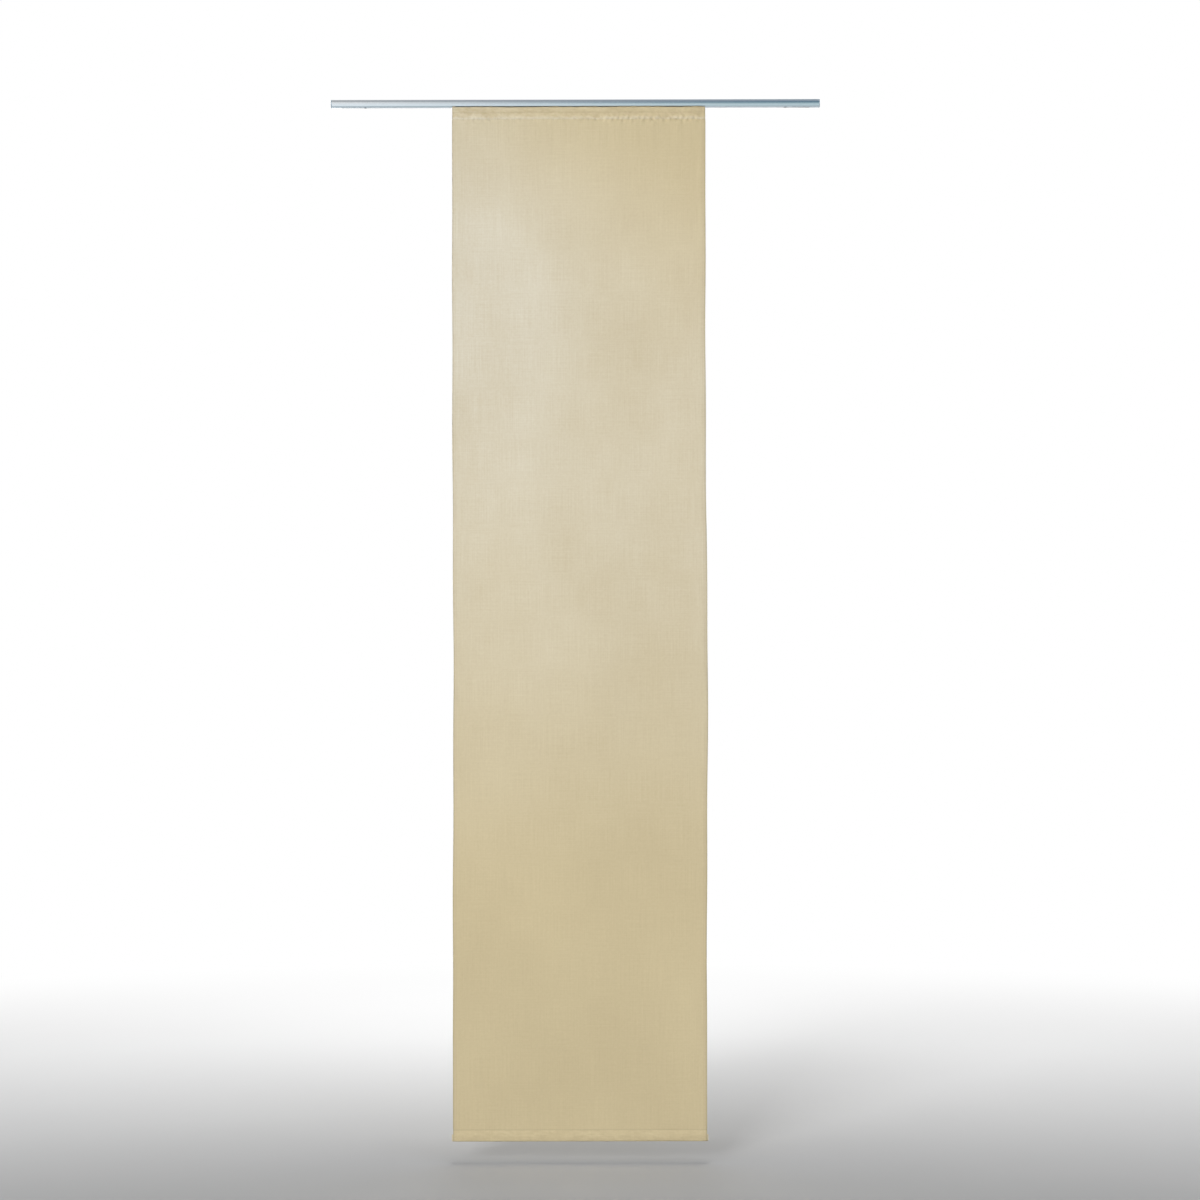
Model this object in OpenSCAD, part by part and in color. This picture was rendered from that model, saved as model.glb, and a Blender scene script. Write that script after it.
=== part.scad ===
// Panel curtain: a flat cloth panel that slides sideways under a round inner-run rail.
// X runs along the rail, -Y faces the room, +Z is up.
// The origin is the middle of the flat seat on top of the rail, where it meets the ceiling.

/* [Cloth panel] */
// Finished width of the cloth
panel_w = 600; // [400:10:800]
// Finished drop of the cloth, from its top fold to its bottom fold
panel_drop = 2450; // [1600:10:3000]
// Thickness of one layer of cloth
cloth_t = 0.5; // [0.3:0.1:0.8]
// Width of the hem turned to the back along each side
side_hem_w = 8; // [4:1:20]
// Height of the hem turned to the back along the top
top_hem_h = 30; // [28:1:60]
// Height of the tunnel for the weight bar, from the bottom fold to its seam
tunnel_h = 27; // [24:1:50]
// Space between the underside of the rail and the top fold of the cloth
cloth_gap = 0.6; // [0.4:0.1:3]
// How far the panel hangs to the right of the middle of the rail
panel_offset = 7; // [-150:1:150]

/* [Rail] */
// Cut length of the aluminium rail
rail_len = 1158; // [1000:2:2400]
// Depth of the round section, front to back
rail_d = 20; // [19:0.5:26]
// Height of the section over its flat top and bottom
rail_h = 18.6; // [17.6:0.1:22]
// Width of the flats on the top and the underside
flat_w = 8; // [6:0.2:10]
// Wall of the round sides
rail_wall = 1.3; // [1:0.1:1.6]
// Wall under the flat ceiling seat
seat_wall = 1.8; // [1.4:0.1:3]
// Thickness of the two lips that carry the gliders
lip_t = 1.6; // [1.2:0.1:2]
// Width of the slot between the lips
slot_w = 5.6; // [5:0.1:6.2]
// Width of the flat floor on which the gliders run
run_w = 10.4; // [9.6:0.1:11]
// Height of the straight sides above that floor
run_h = 1.4; // [0.8:0.1:3]
// Diameter of the ceiling screw holes
screw_hole_d = 4.5; // [3.5:0.1:5.5]
// Diameter of the openings in the lips that let a screw head through
access_hole_d = 8.4; // [7:0.1:9]
// Distance from each end of the rail to its outer screw hole
outer_screw_inset = 79; // [45:1:200]
// Distance between the two inner screw holes
inner_screw_spacing = 340; // [200:10:600]

/* [Rail end caps] */
// Thickness of the face that covers the end of the rail
end_face_t = 3; // [2:0.5:6]
// How far that face is domed
end_dome = 0.8; // [0.4:0.1:1.5]
// Length of the plug inside the rail, which also stops the gliders
stop_len = 22; // [10:1:40]
// Clearance of the plug in the rail
plug_gap = 0.15; // [0.1:0.05:0.3]

/* [Panel carrier] */
// How far the capped ends of the carrier stay inside the edges of the cloth
carrier_inset = 2; // [0:0.5:20]
// Depth of the glider groove, front to back
carrier_d = 10; // [9:0.5:14]
// Height of the face that holds the hook tape
carrier_h = 27.4; // [27.4:0.2:45]
// Wall of the carrier
carrier_wall = 1.6; // [1.2:0.1:2]
// Height of the glider groove
groove_h = 7.6; // [7:0.2:10]
// Width of the slot along the top of the groove
groove_slot_w = 4.6; // [4.2:0.1:5]
// Width of the stiffening flange turned back along the bottom
flange_w = 3.6; // [2.4:0.2:8]
// Size of the small rib above the hook tape
rib = 0.5; // [0.3:0.1:0.8]
// Space between the underside of the rail and the top of the carrier
rail_gap = 1.2; // [0.8:0.1:3]

/* [Carrier end caps] */
// Thickness of the cap at each end of the carrier
carrier_cap_t = 2; // [1:0.5:4]
// Length of its tongue in the glider groove
tongue_len = 12; // [6:1:20]

/* [Gliders] */
// Number of gliders
glider_count = 5; // [3:1:7]
// Distance from each edge of the cloth to the nearest glider
glider_inset = 30; // [24:1:80]
// Length of the head that runs in the rail
head_l = 14; // [10:1:24]
// Height of the head
head_h = 4.2; // [3:0.1:6]
// Width of the slit that lets the head spring through the slot
slit_w = 1.2; // [0.8:0.1:1.6]
// Length of the neck
neck_l = 8; // [6:0.5:10]
// Length of the foot in the carrier's groove
foot_l = 16; // [12:1:24]
// Height of the foot
foot_h = 3; // [2:0.1:4]
// Clearance of the gliders in the rail and in the groove
run_gap = 0.3; // [0.2:0.05:0.4]
// Clearance at each side of the head
head_gap = 0.7; // [0.4:0.1:1]

/* [Hook and loop tapes] */
// Height of both tapes
tape_h = 20; // [16:1:20]
// Thickness of each tape
tape_t = 1.2; // [0.8:0.1:2]
// Distance from the top fold of the cloth down to the tapes
tape_drop = 7; // [4:0.5:7.5]
// How far the hook tape ends inside the edges of the cloth
hook_inset = 6; // [4:0.5:20]
// How far the loop tape ends inside the edges of the cloth
loop_inset = 3; // [0:0.5:20]

/* [Weight bar] */
// Height of the flat oval bar
bar_h = 16; // [12:0.5:18]
// Thickness of the bar
bar_t = 6; // [5:0.5:8]
// Wall of the bar
bar_wall = 1.5; // [1:0.1:2]
// Clearance of the bar in the tunnel
bar_gap = 0.3; // [0.2:0.05:0.6]
// Thickness of the head of the plug at each end
bar_plug_t = 2.5; // [2:0.5:8]
// Length of the plug inside the bar
bar_tenon_l = 15; // [8:1:25]

/* [Hidden] */
$fn = 64;
// How far a cut runs past the faces it opens
over = 1;

// The rail's section
rail_axis_z = -rail_h / 2;
rail_floor_z = -rail_h + lip_t;
// Each round side is an arc through the edges of both flats and the widest point
side_bulge = (rail_d - flat_w) / 2;
side_r = (pow(rail_h / 2, 2) + pow(side_bulge, 2)) / (2 * side_bulge);
side_y = rail_d / 2 - side_r;
outer_screw_spacing = rail_len - 2 * outer_screw_inset;

// The carrier's section
carrier_top_z = -rail_h - rail_gap;
carrier_len = panel_w - 2 * (carrier_inset + carrier_cap_t);
groove_w = carrier_d - 2 * carrier_wall;
groove_lip_t = carrier_wall;
carrier_face_y = -carrier_d / 2;

// The gliders, from the head in the rail down to the foot in the carrier
head_w = run_w - 2 * head_gap;
head_z = rail_floor_z + run_gap;
rail_neck_w = slot_w - 2 * run_gap;
carrier_neck_w = groove_slot_w - 2 * run_gap;
foot_w = groove_w - 2 * run_gap;
foot_z = carrier_top_z - groove_lip_t - foot_h;
glider_span = panel_w - 2 * glider_inset;
glider_pitch = glider_span / (glider_count - 1);

// The layers in front of the carrier: hook tape, loop tape, turned hem, cloth
hook_y = carrier_face_y - tape_t;
loop_y = hook_y - tape_t;
cloth_back_y = loop_y - cloth_t;
cloth_front_y = cloth_back_y - cloth_t;
cloth_mid_y = cloth_back_y - cloth_t / 2;
cloth_top_z = -rail_h - cloth_gap;
cloth_bottom_z = cloth_top_z - panel_drop;
tape_top_z = cloth_top_z - tape_drop;

// The bar in its tunnel
tunnel_r = bar_t / 2 + bar_gap;
bar_low_z = cloth_bottom_z + cloth_t + tunnel_r;
bar_high_z = bar_low_z + bar_h - bar_t;
seam_z = cloth_bottom_z + tunnel_h;

// A section drawn in depth and height, run along the rail's direction from x0
module along_x(x0, length) {
    translate([x0, 0, 0]) rotate([90, 0, 90]) linear_extrude(height = length) children();
}

// A copy of a right-hand piece for the left-hand end, mirrored in the plane at x
module mirrored_at(x) {
    translate([x, 0, 0]) mirror([1, 0, 0]) translate([-x, 0, 0]) children();
}

// A bar shape with round ends, lying along the first axis
module stadium(length, width) {
    square([length - width, width], center = true);
    for (side = [-1, 1])
        translate([side * (length - width) / 2, 0]) circle(d = width);
}

// All that lies inside one round side of the rail, less inset
module inside_of_side(inset) {
    translate([side_y, rail_axis_z]) circle(r = side_r - inset);
    translate([side_y - rail_d, -rail_h]) square([rail_d, rail_h]);
}

// The space between the rail's two round sides, less inset at each, from low to high
module between_sides(inset, low, high) {
    intersection() {
        inside_of_side(inset);
        mirror([1, 0]) inside_of_side(inset);
        translate([-rail_d / 2, low]) square([rail_d, high - low]);
    }
}

// The rail's outside: two round sides with a flat top and bottom
module rail_outline() {
    between_sides(0, -rail_h, 0);
}

// The rail's inside: a round chamber with a flat floor, and the slot below it.
// A plug that fills it is smaller by gap all round.
module rail_hollow(gap = 0) {
    floor_z = rail_floor_z + gap;
    between_sides(rail_wall + gap, floor_z, -seat_wall - gap);
    translate([-run_w / 2 + gap, floor_z]) square([run_w - 2 * gap, run_h]);
}

module rail() {
    color("#b4bec6")
    difference() {
        along_x(-rail_len / 2, rail_len)
            difference() {
                rail_outline();
                rail_hollow();
                translate([-slot_w / 2, -rail_h - over])
                    square([slot_w, lip_t + 2 * over]);
            }
        for (spacing = [outer_screw_spacing, inner_screw_spacing], side = [-1, 1])
            translate([side * spacing / 2, 0, 0]) {
                translate([0, 0, -seat_wall - over])
                    cylinder(d = screw_hole_d, h = seat_wall + 2 * over);
                translate([0, 0, -rail_h - over])
                    cylinder(d = access_hole_d, h = lip_t + 2 * over);
            }
    }
}

// A moulded end: a shallow domed face, and a plug that keys into the slot and stops the gliders
module rail_end_cap_right() {
    end_x = rail_len / 2;
    dome_r = (pow(rail_d / 2, 2) + pow(end_dome, 2)) / (2 * end_dome);
    color("#aab3ba") {
        intersection() {
            along_x(end_x, end_face_t) rail_outline();
            translate([end_x + end_face_t - dome_r, 0, rail_axis_z])
                sphere(r = dome_r, $fn = 128);
        }
        along_x(end_x - stop_len, stop_len) {
            rail_hollow(plug_gap);
            translate([-slot_w / 2 + plug_gap, -rail_h])
                square([slot_w - 2 * plug_gap, lip_t + plug_gap + run_h]);
        }
    }
}

module rail_end_cap_left() {
    mirrored_at(0) rail_end_cap_right();
}

// The carrier's outside: a groove box on top, a tall face in front and a flange below
module carrier_outline() {
    translate([-carrier_d / 2, carrier_top_z - groove_h]) square([carrier_d, groove_h]);
    translate([carrier_face_y, carrier_top_z - carrier_h]) square([carrier_wall, carrier_h]);
    translate([carrier_face_y, carrier_top_z - carrier_h]) square([flange_w, carrier_wall]);
}

// The inside of the glider groove, less gap all round
module groove_hollow(gap = 0) {
    groove_floor_z = carrier_top_z - groove_h + carrier_wall;
    translate([-groove_w / 2 + gap, groove_floor_z + gap])
        square([groove_w - 2 * gap, groove_h - carrier_wall - groove_lip_t - 2 * gap]);
}

module panel_carrier() {
    color("#c4c9cc")
    along_x(panel_offset - carrier_len / 2, carrier_len) {
        difference() {
            carrier_outline();
            groove_hollow();
            translate([-groove_slot_w / 2, carrier_top_z - groove_lip_t - over])
                square([groove_slot_w, groove_lip_t + 2 * over]);
        }
        // The rib that keeps the hook tape straight
        translate([carrier_face_y - rib, tape_top_z])
            square([rib + carrier_wall / 2, rib]);
    }
}

// A moulded cap over the end of the carrier, with a tongue in the glider groove
module carrier_end_cap_right() {
    end_x = panel_offset + carrier_len / 2;
    color("#d9dbda") {
        along_x(end_x, carrier_cap_t) carrier_outline();
        along_x(end_x - tongue_len, tongue_len) groove_hollow(plug_gap);
    }
}

module carrier_end_cap_left() {
    mirrored_at(panel_offset) carrier_end_cap_right();
}

// One moulded glider: a split head on the rail's lips, a waisted neck and a foot in the carrier
module glider(number) {
    x = panel_offset - glider_span / 2 + (number - 1) * glider_pitch;
    foot_top_z = foot_z + foot_h;
    color("#f1f1ec")
    translate([x, 0, 0])
    difference() {
        union() {
            // Head, with its top rounded front to back
            intersection() {
                translate([0, 0, head_z])
                    linear_extrude(height = head_h) stadium(head_l, head_w);
                translate([0, 0, head_z + head_h - head_w])
                    rotate([0, 90, 0]) cylinder(r = head_w, h = head_l, center = true);
            }
            translate([0, 0, carrier_top_z + run_gap])
                linear_extrude(height = head_z + head_h / 2 - carrier_top_z - run_gap)
                    stadium(neck_l, rail_neck_w);
            translate([0, 0, foot_top_z - over])
                linear_extrude(height = carrier_top_z + rail_gap / 2 - foot_top_z + over)
                    stadium(neck_l - 2 * run_gap, carrier_neck_w);
            translate([0, 0, foot_z])
                linear_extrude(height = foot_h) stadium(foot_l, foot_w);
        }
        translate([-head_l, -slit_w / 2, rail_floor_z - lip_t / 2])
            cube([2 * head_l, slit_w, head_h + lip_t + over]);
    }
}

// The self-adhesive hook tape on the carrier's face
module hook_tape() {
    length = panel_w - 2 * hook_inset;
    color("#e6e4de")
        translate([panel_offset - length / 2, hook_y, tape_top_z - tape_h])
            cube([length, tape_t, tape_h]);
}

// The loop tape sewn to the back of the turned hem
module loop_tape() {
    length = panel_w - 2 * loop_inset;
    color("#efece4")
        translate([panel_offset - length / 2, loop_y, tape_top_z - tape_h])
            cube([length, tape_t, tape_h]);
}

// A teardrop around the bar: a stadium of radius r whose sides run up to the seam in straight tangents
module teardrop(r, seam) {
    rise = seam - bar_high_z;
    lean = acos(r / rise);
    tangent_y = r * sin(lean);
    tangent_z = bar_high_z + r * cos(lean);
    translate([cloth_mid_y, 0]) {
        for (z = [bar_low_z, bar_high_z])
            translate([0, z]) circle(r = r);
        translate([-r, bar_low_z]) square([2 * r, bar_high_z - bar_low_z]);
        polygon([[0, seam], [-tangent_y, tangent_z], [0, bar_high_z], [tangent_y, tangent_z]]);
    }
}

// One sheet of cloth, turned to the back along its top, its sides and its bottom tunnel
module curtain_panel() {
    hem_foot_z = cloth_top_z - top_hem_h;
    left_x = panel_offset - panel_w / 2;
    right_x = panel_offset + panel_w / 2;
    color("#cfc2a0") {
        along_x(left_x, panel_w) {
            // Cloth from the top fold down to the tunnel's seam
            translate([cloth_front_y, seam_z - cloth_t])
                square([cloth_t, cloth_top_z - seam_z]);
            // Turned top hem, round at its fold
            translate([cloth_front_y, hem_foot_z])
                square([2 * cloth_t, top_hem_h - cloth_t]);
            translate([cloth_back_y, cloth_top_z - cloth_t]) circle(r = cloth_t);
            // Tunnel
            difference() {
                teardrop(tunnel_r + cloth_t, seam_z);
                teardrop(tunnel_r, seam_z - 3 * cloth_t);
            }
        }
        for (x = [left_x, right_x - side_hem_w])
            along_x(x, side_hem_w)
                translate([cloth_front_y, seam_z])
                    square([2 * cloth_t, hem_foot_z - seam_z + cloth_t]);
    }
}

// The bar's flat oval section, standing on edge
module bar_section(h, t) {
    translate([cloth_mid_y, (bar_low_z + bar_high_z) / 2]) rotate(90) stadium(h, t);
}

module weight_bar() {
    color("#b9bdbf")
    along_x(panel_offset - panel_w / 2, panel_w)
        difference() {
            bar_section(bar_h, bar_t);
            bar_section(bar_h - 2 * bar_wall, bar_t - 2 * bar_wall);
        }
}

// A moulded plug: a head that closes the end of the bar, and a tenon inside it
module weight_bar_plug_right() {
    end_x = panel_offset + panel_w / 2;
    shrink = 2 * (bar_wall + plug_gap);
    color("#cdbd98") {
        along_x(end_x, bar_plug_t) bar_section(bar_h, bar_t);
        along_x(end_x - bar_tenon_l, bar_tenon_l)
            bar_section(bar_h - shrink, bar_t - shrink);
    }
}

module weight_bar_plug_left() {
    mirrored_at(panel_offset) weight_bar_plug_right();
}

rail();
rail_end_cap_left();
rail_end_cap_right();
panel_carrier();
carrier_end_cap_left();
carrier_end_cap_right();
for (i = [1:glider_count])
    glider(i);
hook_tape();
loop_tape();
curtain_panel();
weight_bar();
weight_bar_plug_left();
weight_bar_plug_right();
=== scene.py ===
"""Panel curtain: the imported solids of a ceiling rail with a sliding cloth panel, dressed and lit.

The sheet, its stitching and its tapes are worked out here as numpy surfaces.
Rail, carrier, gliders, caps and weight bar keep their solids and get their finishes.
X runs along the rail, -Y faces the room and +Z is up, in metres.
"""
import math

import bpy
import numpy as np
from bpy.props import FloatProperty, FloatVectorProperty, PointerProperty
from mathutils import Matrix, Vector


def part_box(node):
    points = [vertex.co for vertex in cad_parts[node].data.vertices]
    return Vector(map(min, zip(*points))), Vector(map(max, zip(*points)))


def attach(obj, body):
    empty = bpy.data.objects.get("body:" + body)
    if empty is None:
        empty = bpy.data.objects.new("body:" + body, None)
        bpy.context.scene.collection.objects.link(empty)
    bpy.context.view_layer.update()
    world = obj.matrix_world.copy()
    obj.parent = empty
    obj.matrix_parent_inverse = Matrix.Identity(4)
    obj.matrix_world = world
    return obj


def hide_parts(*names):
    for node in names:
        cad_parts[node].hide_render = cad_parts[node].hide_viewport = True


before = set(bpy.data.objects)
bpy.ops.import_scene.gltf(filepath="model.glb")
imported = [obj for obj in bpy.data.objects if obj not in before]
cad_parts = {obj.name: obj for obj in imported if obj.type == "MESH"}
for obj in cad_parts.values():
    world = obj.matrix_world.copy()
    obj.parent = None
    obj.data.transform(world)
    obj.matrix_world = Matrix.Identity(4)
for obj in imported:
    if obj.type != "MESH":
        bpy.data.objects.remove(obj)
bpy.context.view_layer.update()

bl_info = {
    "name": "Panel curtain",
    "version": (1, 0, 0),
    "blender": (4, 5, 0),
    "location": "View3D > Sidebar > Panel curtain",
    "description": "Builds a sliding panel curtain on its packed solids, with its studio",
    "category": "Object",
}

# Where the solids are
CLOTH_LOW, CLOTH_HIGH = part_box("curtain_panel")
HOOK_LOW, HOOK_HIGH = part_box("hook_tape")
LOOP_LOW, LOOP_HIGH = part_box("loop_tape")
BAR_LOW, BAR_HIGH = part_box("weight_bar")
PANEL_X = (CLOTH_LOW.x + CLOTH_HIGH.x) / 2

TURN = 2 * math.pi
WHITE = (1.0, 1.0, 1.0)

# Grid of the sheet: its columns, and the rows between the depths where their spacing changes
COLUMNS = 261
ROWS = (36, 20, 40, 12)
ROWS_CLOSE, ROWS_MEDIUM, ROWS_FOOT = 0.035, 0.15, 0.14
LAP = 0.004            # how far the tunnel's end lies on the back above its seam
LAP_OFF = 0.98         # how far it lies off the front layer, in layers
CLOTH_SHARE = 0.9      # share of a layer's space that the cloth itself fills

# Long waves of the sheet: share, length across, phase, and the crest's sway, its length down and its phase
WAVES = ((1.0, 0.52, 0.16, 0.7, 2.1, 0.0),
         (0.35, 0.19, -0.3, 0.9, 1.4, 1.0))
FLAT_BAND, FLAT_FOOT = 0.040, 0.045    # depths at the band and the weight bar that stay flat
EASE = 0.40                            # length over which the sheet comes free of them
DRIFT_DEPTH, DRIFT_REACH = 1.36, 0.40  # where the sheet drifts most, and how far that reaches
FLARE_REACH = 0.5                      # how far down the upper right corner flares
CURL_START = 0.965                     # where the edges start to curl, as a share of half the width

# Short waves: share, slant, length, wander and phase
RIPPLES = ((0.50, -1.0, 0.0215, 0.23, 0.0), (0.38, 0.4, 0.0137, 0.17, 2.0), (0.34, -0.3, 0.047, 0.31, 1.2))
DRAPES = ((0.6, 0.0, 0.034, 0.31, 1.0), (0.4, 0.0, 0.071, 0.43, 2.2))
GATHERS = ((0.5, -0.6, 0.0095, 0.087, 0.4),)
HEM_WAVES = ((0.0005, 0.0, 0.041, 0.27, 0.0), (0.0003, -0.8, 0.017, 0.16, 1.0))

# Lamps: place, target, width and height, and spread in degrees
LAMPS = {
    "key_lamp": ((-2.7, -6.5, 0.5), (0.3, 0.2, -1.0), (2.8, 2.8), 90),
    "top_lamp": ((PANEL_X, 0.0, 9.5), (PANEL_X, -0.0001, 0.0), (2.0, 2.0), 100),
    "back_lamp": ((-0.2, 3.2, -0.8), (0.0, 0.0, -1.1), (2.0, 2.0), 180),
    "fill_lamp": ((2.2, -3.0, -1.4), (0.0, 0.0, -1.4), (1.8, 1.8), 180),
}

# Cards that only the shiny rail sees: left tone, right tone, and y and z of their two long edges
CARDS = (
    ("card_above", (0.62, 0.60, 0.59), (0.34, 0.40, 0.46), (-6.5, 6), (5, 6)),
    ("card_high", (1.20, 1.16, 1.12), (0.09, 0.21, 0.29), (-6.5, 1.5), (-6.5, 6)),
    ("card_low", (1.20, 1.18, 1.18), (0.43, 0.56, 0.60), (-6.5, -2.3), (-6.5, 1.5)),
    ("card_below", (1.20, 1.20, 1.22), (0.62, 0.75, 0.78), (-6.5, -2.3), (-0.8, -2.3)),
    ("card_under", (0.46, 0.53, 0.57), (0.56, 0.61, 0.64), (-0.8, -2.3), (2, -2.3)),
)
CARD_HALF = 9.0
CARD_GRADE = (-1.9, 0.9)

# Floor: its grid, and the distances over which it turns pale and then gives way to the white of the room
FLOOR_RINGS, FLOOR_SPOKES, FLOOR_RADIUS = 39, 96, 60.0
GRADE_Y = -3.2         # place before the panel that the first two distances are measured from
GRADE = (2.45, 5.2)
FADE = (4.3, 6.6)
FADE_AROUND = (3.2, 5.4)    # measured from the panel's foot
FLOOR_PALE = (0.94, 0.94, 0.94)
SENSOR = 36.0          # width of the camera's sensor in millimetres


def linear(red, green, blue):
    """A colour picked on screen, 0 to 255 a channel, as the linear light that a shader takes."""
    c = np.array((red, green, blue)) / 255
    return tuple(float(v) for v in np.where(c <= 0.04045, c / 12.92, ((c + 0.055) / 1.055) ** 2.4))


def length(name, description, default, low=0.0, high=10.0):
    """A property that holds a length in metres."""
    return FloatProperty(name=name, description=description, default=default, min=low, max=high,
                         precision=5, subtype="DISTANCE", unit="LENGTH")


def colour(name, description, default):
    """A property that holds a colour."""
    return FloatVectorProperty(name=name, description=description, default=default, size=3,
                               min=0.0, max=1.0, subtype="COLOR")


# Settings

class ClothSettings(bpy.types.PropertyGroup):
    """Sizes and colours of the hanging sheet."""
    width: length("Width", "Finished width of the cloth", CLOTH_HIGH.x - CLOTH_LOW.x)
    drop: length("Drop", "From the top fold to the bottom fold", CLOTH_HIGH.z - CLOTH_LOW.z)
    layer: length("Layer", "Space that one layer of cloth takes up", 0.0005)
    top_hem: length("Top hem", "Height of the hem turned to the back along the top", 0.030)
    side_hem: length("Side hem", "Width of the hem turned to the back along each side", 0.008)
    tunnel: length("Tunnel", "From the bottom fold up to the seam of the weight bar's tunnel", 0.027)
    belly: length("Belly", "How far the middle of the sheet hangs towards the room", 0.0030)
    wave: length("Wave", "Depth of the long soft waves in the hanging cloth", 0.0022)
    drift: length("Drift", "How far the sheet drifts to the right halfway down", 0.0042)
    pucker: length("Pucker", "How far the sewn band along the top puffs out", 0.0030)
    lift: length("Lift", "How far the top fold stands up in front of the rail's curve", 0.0011)
    heading: length("Heading", "How far the top fold waves up and down", 0.0005)
    curl: length("Curl", "How far the side edges curl to the back", 0.0007)
    uneven: length("Unevenness", "How far the side edges wander in and out", 0.0006)
    flare: length("Flare", "How far the upper right corner stands out to the right", 0.0018)
    yarn: length("Yarn", "Two yarns, one over and one under", 0.00085)
    body: colour("Cloth", "Main colour of the cloth", linear(213, 198, 160))
    # Painted light: the paler, cooler tone of the upper half, where the lamps light the cloth most
    painted_light_tone: colour("Painted light on cloth", "Paler tone of the upper half", linear(223, 218, 203))
    # Also the colour that the painted shade of the band, the foot, the sewn rows and the folds is blended
    # towards
    shade: colour("Slubs", "Colour of the darker yarns", linear(192, 176, 140))


class StitchSettings(bpy.types.PropertyGroup):
    """Sizes and colour of the sewing."""
    pitch: length("Pitch", "Distance from one stitch to the next", 0.0030)
    thread: length("Thread", "Diameter of the thread", 0.00034)
    top_row: length("Top row", "Depth of the first sewn row below the top fold", 0.0122)
    band_row: length("Band row", "Depth of the second sewn row below the top fold", 0.0285)
    seam_row: length("Seam row", "Height of the tunnel's sewn row above the bottom fold", 0.0272)
    side_row: length("Side row", "Distance of the sewn row from the side edges", 0.0065)
    thread_colour: colour("Thread colour", "Colour of the sewing thread", linear(203, 190, 158))


class FittingSettings(bpy.types.PropertyGroup):
    """Colours of the rail and the other hard pieces."""
    rail: colour("Rail", "Satin anodised rail", linear(222, 229, 234))
    rail_cap: colour("Rail caps", "Moulded ends of the rail", linear(168, 182, 192))
    carrier: colour("Carrier", "Mill-finished carrier and weight bar", linear(205, 208, 210))
    glider: colour("Gliders", "Smooth white gliders", linear(238, 238, 232))
    carrier_cap: colour("Carrier caps", "Pale moulded caps of the carrier", linear(222, 218, 206))
    plug: colour("Bar plugs", "Beige moulded plugs of the weight bar", linear(206, 191, 158))
    tape: colour("Tapes", "Hook and loop tapes", linear(228, 224, 212))


class StageSettings(bpy.types.PropertyGroup):
    """Camera, floor and light."""
    distance: length("Camera distance", "From the camera to the hanging plane", 5.5, 1.0, 30.0)
    view_width: length("View width", "Width of the picture at the hanging plane", 2.8434)
    view_x: FloatProperty(name="View X", description="Middle of the picture along the rail",
                          default=0.0563, subtype="DISTANCE", unit="LENGTH")
    view_z: FloatProperty(name="View Z", description="Height of the middle of the picture",
                          default=-1.1911, subtype="DISTANCE", unit="LENGTH")
    tilt: FloatProperty(name="Tilt", description="How far the camera looks up",
                        default=math.radians(0.9), subtype="ANGLE")
    roll: FloatProperty(name="Roll", description="How far the camera leans to its left",
                        default=math.radians(0.11), subtype="ANGLE")
    floor_gap: length("Floor gap", "Space between the hem and the floor", 0.052)
    key_power: FloatProperty(name="Key light", description="Power of the large lamp on the left",
                             default=105.0, min=0.0, subtype="POWER", unit="POWER")
    top_power: FloatProperty(name="Top light", description="Power of the lamp high above the panel",
                             default=190.0, min=0.0, subtype="POWER", unit="POWER")
    fill_power: FloatProperty(name="Fill light", description="Power of the large lamp on the right",
                              default=19.0, min=0.0, subtype="POWER", unit="POWER")
    back_power: FloatProperty(name="Back light", description="Power of the large lamp behind the panel",
                              default=28.0, min=0.0, subtype="POWER", unit="POWER")
    ambient: FloatProperty(name="Ambient", description="Light of the pale room on the object",
                           default=0.16, min=0.0, max=1.0)
    floor: colour("Floor", "Floor in front of the panel, which fades to white behind it",
                  (0.322, 0.322, 0.323))


# Surfaces

def smooth(t):
    """Rises from 0 to 1 as t goes from 0 to 1, level at both ends: t squared times (3 - 2t)."""
    t = np.clip(t, 0.0, 1.0)
    return t * t * (3.0 - 2.0 * t)


def grid_faces(rows, columns, first=0, wrap=False):
    """The four corners of each cell in a grid of vertices that is numbered row by row from first."""
    r, c = np.meshgrid(np.arange(rows - 1), np.arange(columns if wrap else columns - 1), indexing="ij")
    c2 = (c + 1) % columns
    return first + np.stack([r * columns + c, r * columns + c2, (r + 1) * columns + c2,
                             (r + 1) * columns + c], axis=-1).reshape(-1, 4)


def make_piece(name, points, faces, uv=None, body="panel_body"):
    """A smooth mesh object at the origin from points, lists of corners and an optional UV per point."""
    mesh = bpy.data.meshes.new(name)
    mesh.from_pydata(points.reshape(-1, 3).tolist(), [], faces)
    if uv is not None:
        corner = np.empty(len(mesh.loops), np.int32)
        mesh.loops.foreach_get("vertex_index", corner)
        layer = mesh.uv_layers.new(name="UVMap")
        layer.data.foreach_set("uv", uv.reshape(-1, 2)[corner].astype(np.float32).ravel())
    mesh.polygons.foreach_set("use_smooth", np.ones(len(mesh.polygons), bool))
    mesh.update()
    piece = bpy.data.objects.new(name, mesh)
    bpy.context.scene.collection.objects.link(piece)
    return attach(piece, body)


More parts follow.
